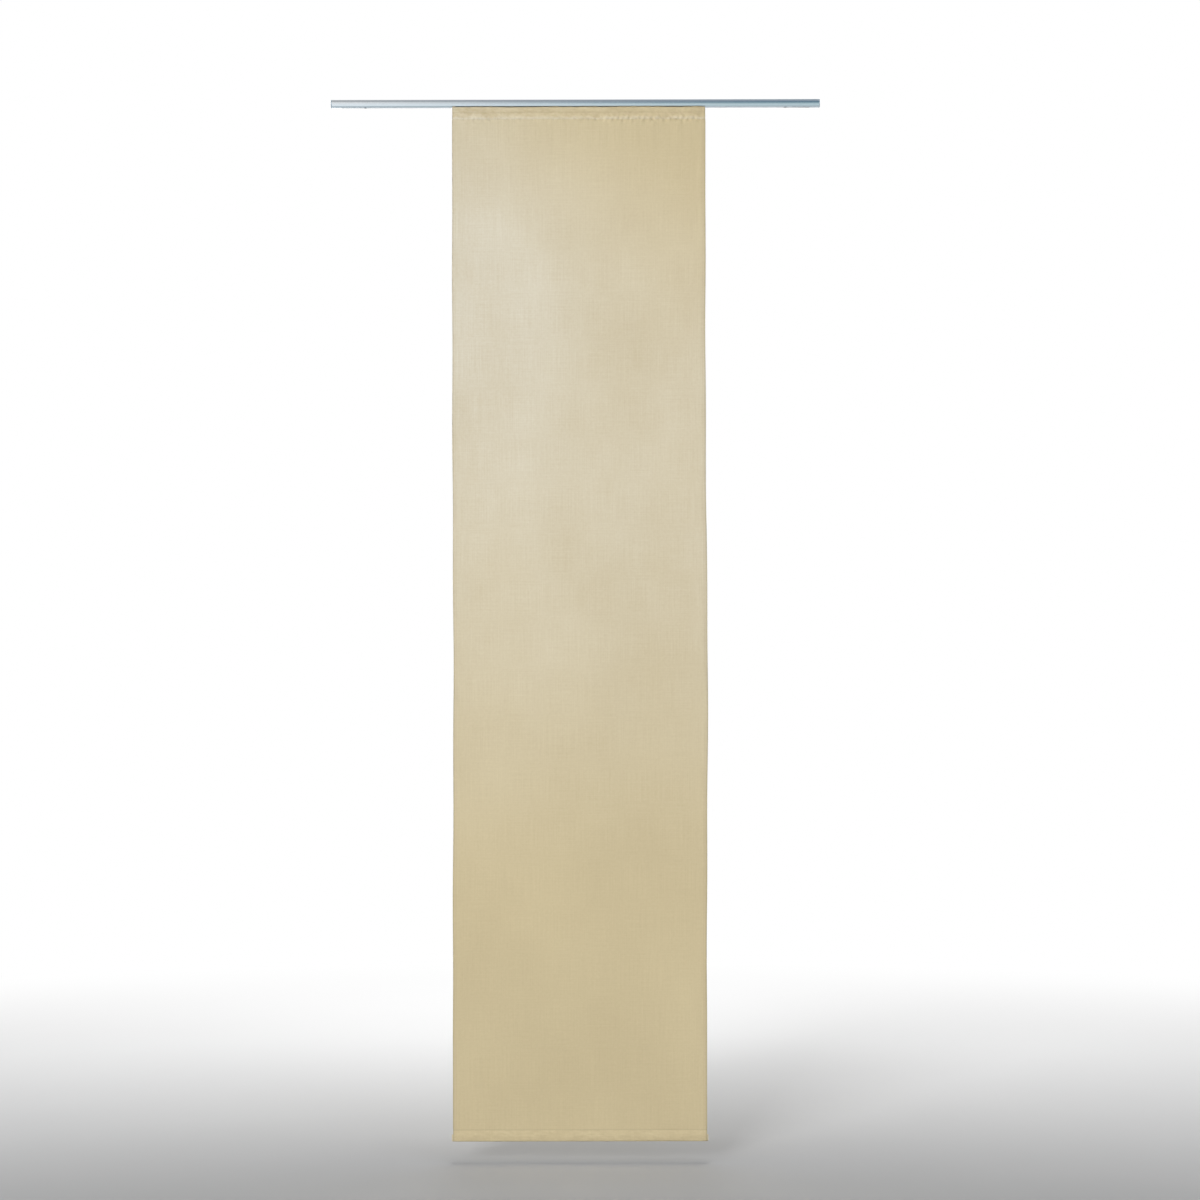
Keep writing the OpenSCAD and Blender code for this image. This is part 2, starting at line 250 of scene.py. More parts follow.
def hang(x, d, s):
    """How the sheet hangs: its shift along x and y at x from its middle and d below its top fold.

    y is a belly, a half sine down the drop, plus long waves whose crests sway a little on the way down.
    Both fade to nothing at the sewn band and at the weight bar, which keep the cloth flat.
    The side edges curl to the back.
    x is a drift to the right, a bell halfway down, plus a slight unevenness of the two edges and a flare
    of the upper right corner.
    """
    free = smooth((d - FLAT_BAND) / EASE) * smooth((s.drop - FLAT_FOOT - d) / EASE)
    crest = sum(share * np.cos(TURN * (x / across + phase) + sway * np.sin(TURN * d / down + start))
                for share, across, phase, sway, down, start in WAVES)
    side = x / (s.width / 2)
    edge = np.abs(side)
    curl = s.curl * smooth((edge - CURL_START) / (1.0 - CURL_START)) * smooth((d - s.top_hem) / 0.06)
    y = free * (-s.belly * np.sin(np.pi * d / s.drop) - s.wave * crest) + curl
    bell = np.exp(-((d - DRIFT_DEPTH) / DRIFT_REACH) ** 2)
    uneven = s.uneven * np.sin(TURN * d / 0.37 + 2.0 * np.sign(x)) * free
    flare = s.flare * np.exp(-(d / FLARE_REACH) ** 2) * np.maximum(side, 0.0) ** 2
    return flare + bell * s.drift * (0.75 + 0.25 * side) + uneven * edge ** 2, y


def wavy(x, wave, wander, phase=0.0):
    """A sine along x whose crests come closer together and further apart over the distance wander."""
    return np.sin(TURN * x / wave + 1.9 * np.sin(TURN * x / wander + phase) + 3.0 * phase)


def waves(x, d, table):
    """The sum of the slanting waves in a table."""
    return sum(share * wavy(x + slant * d, wave, wander, phase)
               for share, slant, wave, wander, phase in table)


def puff(x, d, s, rows):
    """How far the front layer stands out of the sewn band at x and d.

    Above the first row it is a shallow bag, t to the 1.4 times the root of (1 - t).
    From there it swells to a ridge at the second row as t to the 1.3, is dented by the row's stitches,
    and falls back below it as an exponential.
    Slanting ripples, stronger on the right, make the swelling fuller and slacker along the band.
    Short gathers pinch it beside the rows, and below the band they widen into soft upright folds.
    """
    top, low = rows
    ripple = waves(x, d, RIPPLES) * (0.5 + 0.5 * smooth((x + 0.08) / 0.2))
    drape = waves(x, d, DRAPES)
    gather = 0.5 + waves(x, d, GATHERS)
    past = np.maximum(d - low, 0.0)
    high = np.clip(d / top, 0.0, 1.0)
    bag = 0.8 * high ** 1.4 * np.sqrt(1.0 - high) * (1.0 + ripple)
    rise = np.clip((d - top) / (low - top), 0.0, 1.0) ** 1.3
    swell = rise * (1.0 + 1.2 * ripple * np.exp(-past / 0.012))
    dent = 0.28 * np.exp(-((d - low) / 0.0011) ** 2)
    beside = np.exp(-np.abs(d - top - 0.0012) / 0.0022) + np.exp(-np.abs(d - low + 0.0016) / 0.0025)
    inside = smooth(d / 0.003) * (1.0 - smooth((d - low) / 0.004))
    fall = np.exp(-past / 0.05) * (1.0 + 0.45 * drape * smooth(past / 0.03))
    return s.pucker * (bag + (swell - dent) * fall + 0.22 * gather * beside * inside)


def sheet_path(s, bar_radius, bar_rise):
    """The middle of the sheet from the raw edge of its top hem to the end of its tunnel.

    It runs up the back of the hem, half round the top fold, down the front to the seam, out along a
    tangent to the bar's oval, round the oval, and in along the other tangent to lie against the back.
    Gives y from the hanging plane, d below the top fold, the run along the cloth measured from that fold,
    and the first and last row of the front.
    """
    t = s.layer
    r = bar_radius + t / 2
    d_low = s.drop - t - bar_radius
    d_high = d_low - bar_rise
    apex = s.drop - s.tunnel + 1.5 * t
    lean = math.acos(r / (d_high - apex))
    turn = np.linspace(math.pi / 2 - lean, math.pi / 2, 5)[1:]

    fold = np.linspace(0.0, math.pi, 8)[:-1]
    stops = (t, ROWS_CLOSE, ROWS_MEDIUM, s.drop - ROWS_FOOT, apex - LAP)
    front = np.concatenate([np.linspace(a, b, n, endpoint=False) for a, b, n in zip(stops, stops[1:], ROWS)]
                           + [np.linspace(apex - LAP, apex, 4)])
    start = np.array([-r * math.sin(lean), d_high - r * math.cos(lean)])
    lead = np.linspace(0, 1, 10)[1:, None] * (start - (0.0, apex)) + (0.0, apex)
    side = np.stack([-r * np.sin(turn), d_high - r * np.cos(turn)], 1)
    straight = np.stack([np.full(3, -r), np.linspace(d_high, d_low, 4)[1:]], 1)
    around = np.linspace(np.pi, 0.0, 15)[1:]
    bottom = np.stack([r * np.cos(around), d_low + r * np.sin(around)], 1)
    half = np.concatenate([lead, side, straight])
    back = np.stack([-half[::-1, 0], half[::-1, 1]], 1)[1:]
    back[:, 0] = np.maximum(back[:, 0], t * LAP_OFF)
    ends = np.stack([np.full(3, t * LAP_OFF), apex - np.array([0.0004, 0.0022, LAP])], 1)
    path = np.concatenate([
        np.stack([np.full(9, t), np.linspace(s.top_hem, t, 10)[:-1]], 1),
        np.stack([t / 2 + t / 2 * np.cos(fold), t - t / 2 * np.sin(fold)], 1),
        np.stack([np.zeros_like(front), front], 1),
        half, bottom, back, ends])
    run = np.concatenate([[0.0], np.cumsum(np.hypot(*np.diff(path, axis=0).T))])
    top = 9 + len(fold) // 2
    return path[:, 0], path[:, 1], run - run[top], (9 + len(fold), 9 + len(fold) + len(front))


def hanging_sheet(s, rows):
    """Points, corners and UVs of the sheet: its path down the drop carried across the width.

    The front run also gets the band's puff and the hem's slight bulges. The top fold is lifted and waves
    up and down, which dies away below it as an exponential. Along the free sides the grid goes on round a
    small half circle and back for the width of the side hem.
    """
    plane = LOOP_LOW.y - 1.5 * s.layer
    bar_t = BAR_HIGH.y - BAR_LOW.y
    y, d, run, (front_0, front_1) = sheet_path(s, bar_t / 2 + 0.0003, BAR_HIGH.z - BAR_LOW.z - bar_t)
    t = s.layer
    across = np.linspace(-s.width / 2 + t / 2, s.width / 2 - t / 2, COLUMNS)
    is_front = np.zeros(len(d))
    is_front[front_0:front_1] = 1.0

    def place(x_rest, x_fold, y_fold, row_y, row_d, row_front):
        """Puts rest columns and rows into space."""
        shift_x, shift_y = hang(x_rest, row_d, s)
        wave = (s.heading * np.sin(TURN * x_rest / 0.117 + 1.6 * np.sin(TURN * x_rest / 0.29))
                + 0.44 * s.heading * np.sin(TURN * x_rest / 0.031 + 0.4))
        heading = (wave + s.lift) * np.exp(-row_d / 0.006)
        out = puff(x_rest, row_d, s, rows)
        under = row_d - (s.drop - s.tunnel)
        bulge = sum(share for share, *_ in HEM_WAVES) + waves(x_rest, row_d, HEM_WAVES)
        hem = bulge * np.exp(-((under - 0.007) / 0.006) ** 2) * smooth(under / 0.003)
        return np.stack([PANEL_X + x_fold + shift_x,
                         plane + row_y + y_fold + shift_y - (out + hem) * row_front,
                         CLOTH_HIGH.z - row_d + heading], axis=-1)

    column = [a[:, None] for a in (y, d, is_front)]
    main = place(across[None, :], across[None, :], 0.0, *column)
    main_uv = np.stack(np.broadcast_arrays(across[None, :], -run[:, None]), -1)
    points, uvs = [main.reshape(-1, 3)], [main_uv.reshape(-1, 2)]
    faces = [grid_faces(*main.shape[:2])[:, ::-1]]

    # Side hems, on the rows between the top hem's foot and the tunnel
    hemmed = np.flatnonzero((is_front > 0) & (d > s.top_hem + 0.0005) & (d < s.drop - s.tunnel - 0.003))
    bend = np.linspace(0, np.pi, 6)[1:]
    flat = np.array([0.0022, 0.005, s.side_hem]) - t / 2
    out_x = np.concatenate([t / 2 * np.sin(bend), -flat])
    out_y = np.concatenate([t / 2 - t / 2 * np.cos(bend), np.full(3, t)])
    out_run = np.concatenate([t / 2 * bend, t / 2 * np.pi + flat])
    edge_x = s.width / 2 - t / 2
    total = main.shape[0] * main.shape[1]
    for side in (-1, 1):
        x_fold = side * (edge_x + out_x)[None, :]
        rest = np.clip(x_fold, -edge_x, edge_x)
        strip = place(rest, x_fold, out_y[None, :], y[hemmed, None], d[hemmed, None],
                      np.ones((len(hemmed), 1)))
        strip_uv = np.stack(np.broadcast_arrays(side * (edge_x + out_run)[None, :], -run[hemmed, None]), -1)
        k = strip.shape[1]
        joined = np.arange(len(hemmed))[:, None] * k + np.arange(k)[None, :] + total
        edge = hemmed[:, None] * main.shape[1] + (0 if side < 0 else main.shape[1] - 1)
        grid = np.concatenate([edge, joined], axis=1)
        cells = np.stack([grid[:-1, :-1], grid[:-1, 1:], grid[1:, 1:], grid[1:, :-1]], -1).reshape(-1, 4)
        points.append(strip.reshape(-1, 3))
        uvs.append(strip_uv.reshape(-1, 2))
        faces.append(cells[:, ::-1] if side > 0 else cells)
        total += strip.shape[0] * k
    return np.concatenate(points), np.concatenate(faces).tolist(), np.concatenate(uvs)


def front_of_cloth(x, d, s, rows):
    """Points on the front of the sheet's flat run at x from its middle and d below its top fold."""
    shift_x, shift_y = hang(x, d, s)
    plane = LOOP_LOW.y - 1.5 * s.layer
    out = puff(x, d, s, rows)
    return np.stack([PANEL_X + x + shift_x, plane + shift_y - out, CLOTH_HIGH.z - d], axis=-1)


def sewn_row(centres, along, out, pitch, thread):
    """Stitches as short bowed tubes: a ring of five points carried along a bow that rises off the cloth.

    The bow is 0.30 (1 - t squared) - 0.35 t to the fourth, in threads, for t from -1 to 1.
    centres are the stitches' middles, along the direction of the row and out the way the cloth faces.
    """
    t = np.linspace(-1.0, 1.0, 5)
    around = np.linspace(0, 2 * np.pi, 5, endpoint=False)
    across = np.cross(along, out)
    reach = 0.43 * pitch * t
    rise = thread * (0.30 * (1 - t ** 2) - 0.35 * t ** 4)
    radius = thread / 2 * np.sqrt(1.0 - 0.8 * t ** 4)
    ring = radius[:, None, None] * (np.cos(around)[:, None] * out[:, None, None, :]
                                    + np.sin(around)[:, None] * across[:, None, None, :])
    line = centres[:, None, :] + reach[:, None] * along[:, None, :] + rise[:, None] * out[:, None, :]
    points = (line[:, :, None, :] + ring).reshape(-1, 3)
    n, k = len(t), len(around)
    one = grid_faces(n, k, wrap=True)
    firsts = (np.arange(len(centres)) * n * k)[:, None, None]
    sides = (firsts + one[None]).reshape(-1, 4)
    caps = np.concatenate([firsts[:, 0] + np.arange(k)[::-1], firsts[:, 0] + (n - 1) * k + np.arange(k)])
    return points, sides, caps


def sewing(name, runs, pitch, thread):
    """One piece of all the given rows, each row (centres, along, out)."""
    points, faces, first = [], [], 0
    for centres, along, out in runs:
        along = np.broadcast_to(along, centres.shape)
        out = np.broadcast_to(out, centres.shape)
        p, sides, caps = sewn_row(centres, along, out, pitch, thread)
        points.append(p)
        faces += (sides + first).tolist() + (caps + first).tolist()
        first += len(p)
    return make_piece(name, np.concatenate(points), faces)


def tape_strip(name, low, high, edge):
    """A woven tape: a rounded rectangle carried along x, its edges a little uneven, closed at both ends.

    The outline is a superellipse in the tape's depth and height, with power 8: flat with soft edges.
    """
    a = np.linspace(0, 2 * np.pi, 28, endpoint=False)
    x = np.linspace(low.x, high.x, 149)[:, None]
    y = np.sign(np.cos(a)) * np.abs(np.cos(a)) ** 0.25
    z = np.sign(np.sin(a)) * np.abs(np.sin(a)) ** 0.25
    wander = edge * np.sin(2 * np.pi * x / 0.035 + 1.4 * np.sin(2 * np.pi * x / 0.21)) * np.abs(z)
    points = np.stack(np.broadcast_arrays(
        x, (low.y + high.y) / 2 + 0.995 * (high.y - low.y) / 2 * y[None, :],
        (low.z + high.z) / 2 + ((high.z - low.z) / 2 - edge) * z[None, :] + wander * np.sign(z)), -1)
    n, k = points.shape[:2]
    faces = grid_faces(n, k, wrap=True).tolist()
    faces += [list(range(k))[::-1], list(range((n - 1) * k, n * k))]
    girth = np.arange(k) / k * 2 * (high.z - low.z)
    uv = np.stack(np.broadcast_arrays(x, girth[None, :]), -1)
    return make_piece(name, points, faces, uv)


# Finishes

class Wire:
    """An output socket. Arithmetic on wires adds Math nodes to their finish."""

    def __init__(self, finish, socket):
        self.finish, self.socket = finish, socket

    def maths(self, operation, *values):
        return self.finish.node("ShaderNodeMath", {"operation": operation}, dict(enumerate(values)))

    def __add__(self, other):
        return self.maths("ADD", self, other)

    def __sub__(self, other):
        return self.maths("SUBTRACT", self, other)

    def __rsub__(self, other):
        return self.maths("SUBTRACT", other, self)

    def __mul__(self, other):
        return self.maths("MULTIPLY", self, other)

    def __truediv__(self, other):
        return self.maths("DIVIDE", self, other)

    def __rtruediv__(self, other):
        return self.maths("DIVIDE", other, self)

    def __pow__(self, other):
        return self.maths("POWER", self, other)

    def __neg__(self):
        return self.maths("MULTIPLY", self, -1.0)

    def __abs__(self):
        return self.maths("ABSOLUTE", self)

    __radd__, __rmul__ = __add__, __mul__

    def sin(self):
        return self.maths("SINE", self)

    def within(self, middle, half):
        """1 at middle, falling to 0 at half away on either side."""
        return self.maths("MAXIMUM", 1.0 - abs(self - middle) / half, 0.0)


class Finish:
    """The nodes of a material, or of the room's light."""

    def __init__(self, name, kind="materials"):
        self.owner = getattr(bpy.data, kind).new(name)
        self.owner.use_nodes = True
        self.tree = self.owner.node_tree
        self.tree.nodes.clear()

    def node(self, kind, settings=None, sockets=None, out=0):
        """Adds a node, sets it up, fills or links its sockets, and gives the wanted output as a wire."""
        made = self.tree.nodes.new(kind)
        for key, value in (settings or {}).items():
            if key == "stops":
                ramp = made.color_ramp.elements
                while len(ramp) < len(value):
                    ramp.new(1.0)
                for stop, (place, shade) in zip(ramp, value):
                    stop.position, stop.color = place, (*shade, 1.0)
            else:
                setattr(made, key, value)
        for key, value in (sockets or {}).items():
            if isinstance(value, Wire):
                self.tree.links.new(value.socket, made.inputs[key])
            elif made.inputs[key].type == "RGBA" and len(value) == 3:
                made.inputs[key].default_value = (*value, 1.0)
            else:
                made.inputs[key].default_value = value
        return Wire(self, made.outputs[out])

    def place(self):
        """The x, y and z of the piece's own coordinates."""
        at = self.node("ShaderNodeTexCoord", out="Object")
        return [self.node("ShaderNodeSeparateXYZ", None, {0: at}, out=i) for i in range(3)]

    def run(self):
        """The u and v of the piece's own map."""
        at = self.node("ShaderNodeUVMap", {"uv_map": "UVMap"})
        return [self.node("ShaderNodeSeparateXYZ", None, {0: at}, out=i) for i in range(2)]

    def vector(self, x, y, z):
        return self.node("ShaderNodeCombineXYZ", None, {0: x, 1: y, 2: z})

    def noise(self, x, y, z, detail=3.0, rough=0.55):
        """Fractal noise between 0 and 1 at a place."""
        return self.node("ShaderNodeTexNoise", {"noise_dimensions": "3D"},
                         {"Vector": self.vector(x, y, z), "Scale": 1.0, "Detail": detail,
                          "Roughness": rough})

    def step(self, value, start, end):
        """Rises smoothly from 0 at start to 1 at end."""
        return self.node("ShaderNodeMapRange", {"interpolation_type": "SMOOTHSTEP"},
                         {0: value, 1: start, 2: end})

    def blend(self, factor, first, second):
        """A colour between two colours."""
        return self.node("ShaderNodeMix", {"data_type": "RGBA", "clamp_factor": True},
                         {0: factor, 6: first, 7: second}, out=2)

    def bump(self, height, depth, strength=1.0):
        return self.node("ShaderNodeBump", None,
                         {"Height": height, "Distance": depth, "Strength": strength})

    def surface(self, sockets):
        """Closes the material with one Principled shader."""
        shader = self.node("ShaderNodeBsdfPrincipled", None, sockets)
        return self.output(shader)

    def glow(self, ambient):
        """1 where the camera looks, also by way of a reflection or through glass, and ambient elsewhere."""
        seen = [self.node("ShaderNodeLightPath", out=f"Is {ray} Ray")
                for ray in ("Camera", "Glossy", "Transmission")]
        looked = seen[0].maths("MAXIMUM", seen[0].maths("MAXIMUM", seen[0], seen[1]), seen[2])
        return looked * (1 - ambient) + ambient

    def output(self, shader, end="ShaderNodeOutputMaterial"):
        last = self.tree.nodes.new(end)
        self.tree.links.new(shader.socket, last.inputs["Surface"])
        return self.owner


def cloth_finish(s, stitch):
    """Plain-woven microfibre: two crossing yarns as sines of the map, uneven yarns as stretched noise and
    soft cloudiness. Painted light makes the upper half paler, more so on the left, and a painted highlight
    lightens the ridge above the band's second row. Painted shade and light darken and mottle the band and
    the foot in place of their puckers, and painted shade darkens the top fold under the rail, the sewn rows
    and the curled side edges, with a faint darker line where the side hem ends. The noises' scales are per
    metre."""
    f = Finish("beige_cloth")
    u, v = f.run()
    warp = (u * (TURN / s.yarn)).sin()
    weft = (v * (TURN / s.yarn)).sin()
    weave = warp * weft * 0.5 + 0.5
    slub_down = f.noise(u * 620.0, v * 9.0, 0.0, 3.0)
    slub_across = f.noise(u * 11.0, v * 640.0, 4.0, 3.0)
    cloud = f.noise(u * 3.2, v * 2.1, 1.0, 4.0, 0.6)
    fleck = f.noise(u * 160.0, v * 150.0, 2.0, 2.0)
    inward = s.width / 2 - abs(u)
    # Painted shade along the curled side edges, and a faint darker line where the side hem ends
    fold = inward.within(0.0, 0.0042)
    hem_edge = inward.within(s.side_hem, 0.0011)
    depth = -v
    # Painted shade: the rail's shadow on the top fold, and the grooves of the sewn rows and of the tunnel's
    # seam
    sewn = (depth.within(0.0, 0.0028) * 0.8 + depth.within(stitch.top_row, 0.0024) * 0.6
            + depth.within(stitch.band_row, 0.0020) * 0.2
            + depth.within(s.drop - stitch.seam_row, 0.0018))
    deep = ((slub_down - 0.5) * 0.55 + (slub_across - 0.5) * 0.45 + (cloud - 0.5) * 0.9
            + (fleck - 0.5) * 0.35 + (1.0 - weave) * 0.10 + 0.30)
    # Painted light: the upper half is blended towards the paler tone, reaching higher and stronger on the
    # left, towards the key lamp
    pale = (f.step(depth - u * 0.6, -0.15, 0.55) * (1.0 - f.step(depth, 0.95, 1.95))
            * (0.65 + (1.0 - f.step(u, -0.28, 0.12)) * (1.0 - f.step(depth, 0.55, 1.15)) * 0.35))
    band = 1.0 - f.step(depth, stitch.band_row - 0.001, stitch.band_row + 0.003)
    # Painted highlight: the ridge above the band's second row is blended towards the paler tone and kept
    # out of the band's darkening
    ridge = depth.within(stitch.band_row - 0.0012, 0.0075) * band
    tone = f.blend(deep, f.blend(pale + ridge * 0.6, s.body, s.painted_light_tone), s.shade)
    seam = s.drop - stitch.seam_row
    foot = f.step(depth, seam - 0.001, seam + 0.002)
    patch = f.noise(u * 26.0, v * 60.0, 7.0, 3.0, 0.6)
    mottle = f.noise(u * 75.0 + v * 40.0, v * 110.0, 8.0, 2.0, 0.6)
    # Painted shade and light on the band and the foot: blended towards the slub colour and mottled, in
    # place of the shade and light of their puckered layers
    uneven = (patch - 0.5) * 1.6 + (mottle - 0.5) * 1.4
    tone = f.blend(foot * (0.30 + uneven) + band * (0.28 - ridge * 0.28 + uneven * 1.4), tone, s.shade)
    # Painted shade: the top fold, the sewn rows and the side edges are blended towards a darker slub colour
    painted_shade_tone = tuple(c * 0.62 for c in s.shade)
    tone = f.blend(fold * 0.55 + hem_edge * 0.10 + sewn * 0.30, tone, painted_shade_tone)
    crease = f.noise(u * 150.0 + v * 95.0, v * 40.0 - u * 20.0, 5.0, 2.0) * (band + foot)
    height = weave * 0.55 + slub_down * 0.35 + slub_across * 0.30 + fleck * 0.25 + crease * 5.0
    return f.surface({"Base Color": tone, "Roughness": 0.84 + (fleck - 0.5) * 0.2 - weave * 0.04,
                      "Normal": f.bump(height, 0.00012, 0.8), "Sheen Weight": 0.12, "Sheen Roughness": 0.45,
                      "Specular IOR Level": 0.25})


def thread_finish(tint):
    """Twisted thread: slanting ply lines as a sine of the place, over a faint tone change."""
    f = Finish("sewing_thread")
    x, y, z = f.place()
    ply = ((x + y + z) * (TURN / 0.00042)).sin() * 0.5 + 0.5
    tone = f.noise(x * 90.0, y * 90.0, z * 90.0)
    return f.surface({"Base Color": f.blend(ply * 0.5 + tone * 0.4, tint, tuple(c * 0.72 for c in tint)),
                      "Roughness": 0.62 + tone * 0.15, "Normal": f.bump(ply, 0.00004, 0.6),
                      "Sheen Weight": 0.1})


def metal_finish(name, tint, roughness, streak, tarnish):
    """Drawn aluminium: fine die lines as noise stretched along x, wider soft bands, and faint marks."""
    f = Finish(name)
    x, y, z = f.place()
    lines = f.noise(x * 2.2, y * 2600.0, z * 2600.0, 3.0, 0.6)
    bands = f.noise(x * 0.9, y * 420.0, z * 420.0, 2.0)
    marks = f.noise(x * 38.0, y * 60.0, z * 60.0, 4.0, 0.65)
    tone = f.blend((lines - 0.5) * streak + (bands - 0.5) * streak * 0.8 + (marks - 0.5) * tarnish + 0.35,
                   tint, tuple(c * 0.74 for c in tint))
    return f.surface({"Base Color": tone, "Metallic": 1.0,
                      "Roughness": roughness + (lines - 0.5) * 0.14 + (marks - 0.5) * 0.10,
                      "Normal": f.bump(lines * 0.7 + bands * 0.3, 0.00002, 0.5)})


def moulded_finish(name, tint, roughness, metallic=0.0, grain=900.0):
    """Moulded plastic: a fine spark-eroded grain, slow flow marks, and slightly duller worn spots."""
    f = Finish(name)
    x, y, z = f.place()
    spark = f.noise(x * grain, y * grain, z * grain, 2.0)
    flow = f.noise(x * 70.0, y * 110.0, z * 90.0, 3.0)
    tone = f.blend(flow * 0.45 + spark * 0.18, tint, tuple(c * 0.84 for c in tint))
    return f.surface({"Base Color": tone, "Metallic": metallic,
                      "Roughness": roughness + (flow - 0.5) * 0.12 + (spark - 0.5) * 0.08,
                      "Normal": f.bump(spark, 0.00003, 0.6), "Specular IOR Level": 0.45})


def hook_finish(tint):
    """Hook tape: rows of stiff hooks as a product of two sines, to a power so that each is a small dot."""
    f = Finish("hook_tape_weave")
    u, v = f.run()
    dot = ((u * (TURN / 0.0016)).sin() * 0.5 + 0.5) * ((v * (TURN / 0.0016)).sin() * 0.5 + 0.5)
    rows = dot ** 2.5
    stain = f.noise(u * 40.0, v * 60.0, 0.0)
    return f.surface({"Base Color": f.blend(rows * 0.6 + stain * 0.25, tuple(c * 0.8 for c in tint), tint),
                      "Roughness": 0.58 + stain * 0.12, "Normal": f.bump(rows, 0.0004, 0.7)})


def loop_finish(tint):
    """Loop tape: a soft tangled pile from two sizes of noise."""
    f = Finish("loop_tape_pile")
    u, v = f.run()
    pile = f.noise(u * 1500.0, v * 1500.0, 0.0, 4.0, 0.7)
    tuft = f.noise(u * 420.0, v * 500.0, 3.0, 2.0)
    tone = f.blend(pile * 0.7 + tuft * 0.3 - 0.2, tint, tuple(c * 0.74 for c in tint))
    return f.surface({"Base Color": tone, "Roughness": 0.92 - pile * 0.08,
                      "Normal": f.bump(pile + tuft * 0.6, 0.0003, 0.8),
                      "Sheen Weight": 0.25, "Sheen Roughness": 0.5})


def wear(material, *nodes):
    """Gives CAD nodes a finish."""
    for name in nodes:
        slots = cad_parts[name].data.materials
        slots.clear()
        slots.append(material)


# Studio

def put(scene, name, data):
    """A new object in the scene that holds data."""
    made = bpy.data.objects.new(name, data)
    scene.collection.objects.link(made)
    return made


def stage_piece(scene, name, points, faces, material):
    """A mesh of the studio, which is no part of the object."""
    mesh = bpy.data.meshes.new(name)
    mesh.from_pydata(points, [], faces)
    mesh.materials.append(material)
    made = put(scene, name, mesh)
    return made


def floor_finish(s):
    """Matt grey that turns pale with the distance, and then gives way to the white of the room."""
    f = Finish("studio_floor")
    x, y, _ = f.place()
    away = ((x - PANEL_X) ** 2.0 + (y - GRADE_Y) ** 2.0) ** 0.5
    around = ((x - PANEL_X) ** 2.0 + y ** 2.0) ** 0.5
    grain = f.noise(x * 3.0, y * 3.0, 0.0)
    tone = f.blend(f.step(away, *GRADE) + (grain - 0.5) * 0.03, tuple(s.floor), FLOOR_PALE)
    gone = away.maths("MAXIMUM", f.step(away, *FADE), f.step(around, *FADE_AROUND))
    matt = f.node("ShaderNodeBsdfPrincipled", None,
                  {"Base Color": tone, "Roughness": 0.9, "Specular IOR Level": 0.1})
    white = f.node("ShaderNodeEmission", None, {"Color": WHITE, "Strength": f.glow(s.ambient)})
    return f.output(f.node("ShaderNodeMixShader", None, {0: gone, 1: matt, 2: white}))


def lay_floor(scene, s):
    """A disc under the panel. Ring n of N lies at (n / N) squared of its radius."""
    rings = np.linspace(0, 1, FLOOR_RINGS + 1)[1:, None] ** 2 * FLOOR_RADIUS
    spokes = np.linspace(0, TURN, FLOOR_SPOKES, endpoint=False)
    disc = np.stack(np.broadcast_arrays(rings * np.cos(spokes), rings * np.sin(spokes),
                                        CLOTH_LOW.z - s.floor_gap), -1)
    faces = grid_faces(FLOOR_RINGS, FLOOR_SPOKES, wrap=True)[:, ::-1].tolist()
    faces.append(list(range(FLOOR_SPOKES)))
    return stage_piece(scene, "floor", disc.reshape(-1, 3).tolist(), faces, floor_finish(s))


def room_finish(s):
    """The white room: white where it is seen, and a plain soft level where it lights the object."""
    f = Finish("white_room", "worlds")
    light = f.node("ShaderNodeBackground", None, {"Color": WHITE, "Strength": f.glow(s.ambient)})
    return f.output(light, "ShaderNodeOutputWorld")


def hang_lamp(scene, name, power):
    """A lamp of the table, turned to its target."""
    place, target, size, spread = LAMPS[name]
    light = bpy.data.lights.new(name, "AREA")
    light.shape, light.size, light.size_y = "RECTANGLE", *size
    light.energy, light.spread = power, math.radians(spread)
    made = put(scene, name, light)
    made.location = place
    made.rotation_euler = (Vector(target) - Vector(place)).to_track_quat("-Z", "Y").to_euler()
    return made


def set_card(scene, name, left, right, near, far):
    """A card that only reflections show, graded from its left tone to its right tone."""
    f = Finish(name)
    tone = f.blend(f.step(f.place()[0], *CARD_GRADE), left, right)
    material = f.output(f.node("ShaderNodeEmission", None, {"Color": tone}))
    corners = [(-CARD_HALF, *near), (CARD_HALF, *near), (CARD_HALF, *far), (-CARD_HALF, *far)]
    card = stage_piece(scene, name, corners, [(0, 1, 2, 3)], material)
    card.visible_camera = card.visible_diffuse = card.visible_shadow = False
    card.visible_transmission = card.visible_volume_scatter = False


def aim_camera(scene, s):
    """The camera, level with the middle of the panel and looking up a little."""
    eye = bpy.data.cameras.new("camera")
    eye.sensor_width = SENSOR
    eye.lens = SENSOR * s.distance / s.view_width
    eye.clip_end = 200.0
    camera = put(scene, "camera", eye)
    camera.location = (s.view_x, LOOP_LOW.y - s.distance, s.view_z - s.distance * math.tan(s.tilt))
    camera.rotation_euler = (Matrix.Rotation(math.pi / 2 + s.tilt, 3, "X")
                             @ Matrix.Rotation(-s.roll, 3, "Z")).to_euler()
    scene.camera = camera


# Operators

class CURTAIN_OT_rail(bpy.types.Operator):
    """Finishes the rail and its two end caps"""
    bl_idname = "curtain.rail"
    bl_label = "Rail"

    def execute(self, context):
        s = context.scene.curtain_fittings
        wear(metal_finish("satin_rail", tuple(s.rail), 0.19, 0.30, 0.20), "rail")
        wear(moulded_finish("silver_cap", tuple(s.rail_cap), 0.42, 0.55), "rail_end_cap_left",
             "rail_end_cap_right")
        return {"FINISHED"}


